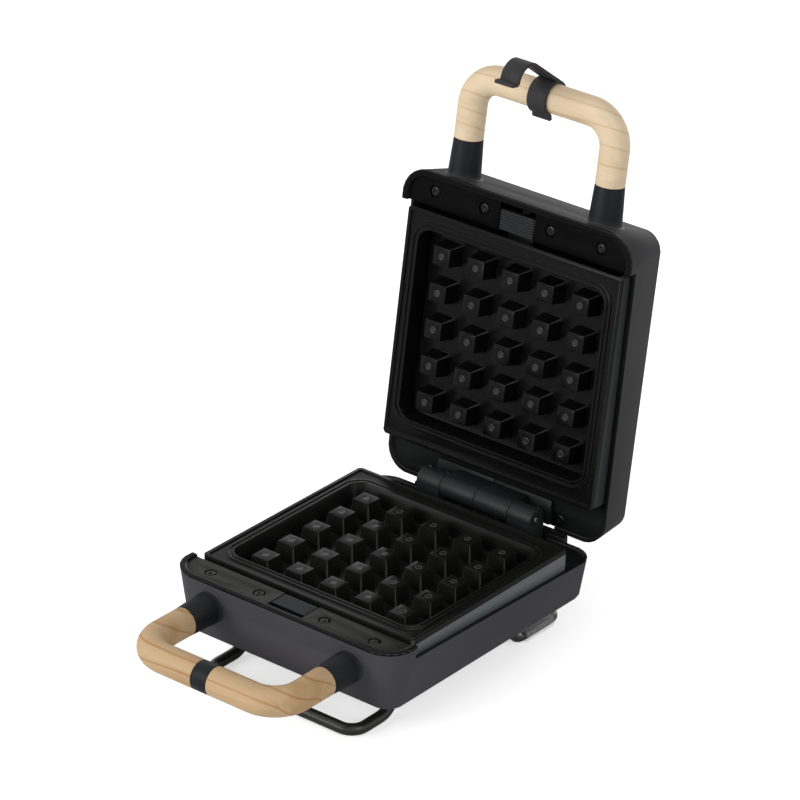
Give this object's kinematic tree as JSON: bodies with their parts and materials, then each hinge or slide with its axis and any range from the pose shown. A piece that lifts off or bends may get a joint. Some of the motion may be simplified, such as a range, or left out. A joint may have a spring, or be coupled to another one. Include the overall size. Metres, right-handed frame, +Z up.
{
  "type": "sandwich and waffle maker",
  "caption": "Countertop waffle and sandwich maker with a rear-hinged lid, lift-out studded plates, bent wooden loop handles, a swinging latch clip and bent-wire stands.",
  "frame": {"origin": "below the middle of the open object's bounding box, at the height of the table", "axes": "+X across the width, +Y from the handles to the hinge at the rear, +Z up"},
  "size_m": [0.1608, 0.311, 0.3224],
  "materials": {
    "housing": "charcoal, satin",
    "black_moulding": "black",
    "hinge_moulding": "black",
    "collar": "blue-black, satin",
    "latch": "black, satin",
    "nonstick_plate": "black non-stick coating, satin",
    "tray_sheet": "bare sheet",
    "element_sheath": "dull sheath",
    "ceramic": "glazed ceramic",
    "grip_wood": "pale maple, clear satin",
    "dowel_wood": "bare beech",
    "screw": "blackened",
    "spring_steel": "bright",
    "pin_steel": "bright",
    "stand_wire": "dark satin",
    "clear_sleeve": "clear soft plastic",
    "gland_rubber": "black",
    "fuse_sleeve": "woven glass sleeve"
  },
  "bodies": {
    "base": {"base_housing": "housing", "base_deck": "black_moulding", "base_deck_screws": "screw", "base_slider_spring": "spring_steel", "base_waffle_plate": "nonstick_plate", "base_inner_frame": "black_moulding", "base_frame_screws": "screw", "base_reflector_tray": "tray_sheet", "base_heating_element": "element_sheath", "base_element_clips": "ceramic", "base_thermostat": "ceramic", "base_hinge_leaves": "hinge_moulding", "base_hinge_screws": "screw", "base_handle_collars": "collar", "base_grip_right": "grip_wood", "base_grip_left": "grip_wood", "base_grip_band": "black_moulding", "base_grip_dowel": "dowel_wood", "base_handle_screws": "screw", "hinge_pin": "pin_steel", "front_stand": "stand_wire", "rear_stand": "stand_wire", "rear_stand_sleeves": "clear_sleeve", "stand_saddles": "black_moulding", "stand_screws": "screw", "rear_cover": "black_moulding", "cover_screws": "screw", "cord_gland": "gland_rubber", "terminal_block": "ceramic", "thermal_fuse": "fuse_sleeve"},
    "lid": {"lid_housing": "housing", "lid_deck": "black_moulding", "lid_deck_screws": "screw", "lid_slider_spring": "spring_steel", "lid_waffle_plate": "nonstick_plate", "lid_inner_frame": "black_moulding", "lid_frame_screws": "screw", "lid_reflector_tray": "tray_sheet", "lid_heating_element": "element_sheath", "lid_element_clips": "ceramic", "lid_thermostat": "ceramic", "lid_hinge_leaves": "hinge_moulding", "lid_hinge_screws": "screw", "lid_handle_collars": "collar", "lid_grip_right": "grip_wood", "lid_grip_left": "grip_wood", "lid_grip_band": "black_moulding", "lid_grip_dowel": "dowel_wood", "lid_handle_screws": "screw"},
    "latch": {"latch_clip": "latch"},
    "base_slider": {"base_release_slider": "black_moulding"},
    "lid_slider": {"lid_release_slider": "black_moulding"}
  },
  "joints": [
    {"name": "lid_hinge", "type": "hinge", "parent": "base", "child": "lid", "pos_m": [0, 0.09193, 0.059], "axis": [1, 0, 0], "range_deg": [0, 97.7]},
    {"name": "latch_pivot", "type": "hinge", "parent": "lid", "child": "latch", "pos_m": [0, 0.14077, 0.29337], "axis": [1, 0, 0], "range_deg": [-90, 28]},
    {"name": "base_slider_slide", "type": "slide", "parent": "base", "child": "base_slider", "axis": [0, -1, 0], "range_m": [0, 0.004], "stiffness_N_per_m": 400, "springref_m": -0.004, "deforming": ["base_slider_spring"]},
    {"name": "lid_slider_slide", "type": "slide", "parent": "lid", "child": "lid_slider", "axis": [0, 0.134, 0.991], "range_m": [0, 0.004], "stiffness_N_per_m": 400, "springref_m": -0.004, "deforming": ["lid_slider_spring"]}
  ]
}
